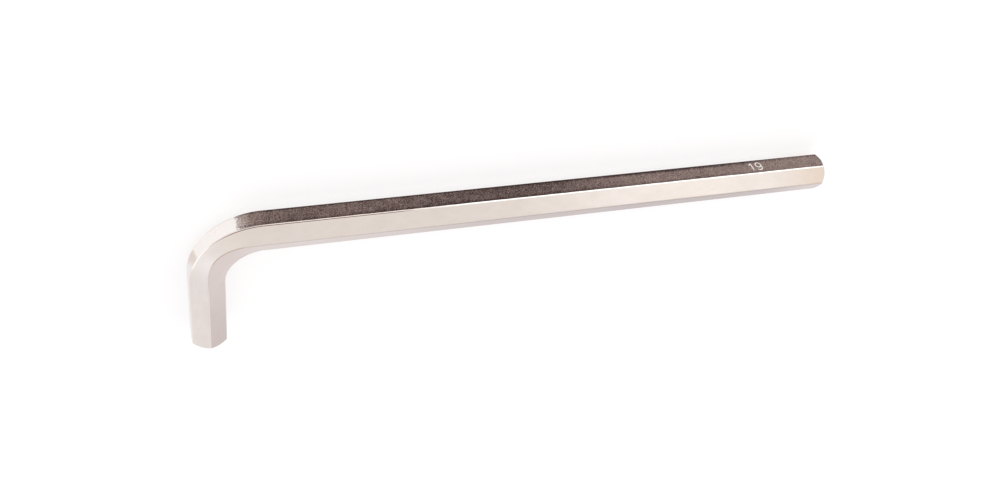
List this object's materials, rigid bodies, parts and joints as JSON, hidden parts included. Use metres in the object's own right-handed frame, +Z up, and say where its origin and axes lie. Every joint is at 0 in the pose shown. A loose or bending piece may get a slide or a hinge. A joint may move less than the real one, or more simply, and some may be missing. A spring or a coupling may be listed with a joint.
{
  "type": "hex key",
  "caption": "Large L-shaped hexagonal key bent from one bar, with a long arm, a short arm and chamfered drive tips.",
  "frame": {"origin": "under the middle of the key's box, on the surface that it lies on", "axes": "the key lies on its side; +X along the long arm from the bend to its tip, the short arm points to -Y, +Z up"},
  "size_m": [0.38, 0.089, 0.0215],
  "materials": {
    "plated_steel": "nickel plated steel, drawn bar, satin bright"
  },
  "bodies": {
    "root": {"hex_key": "plated_steel"}
  },
  "joints": []
}
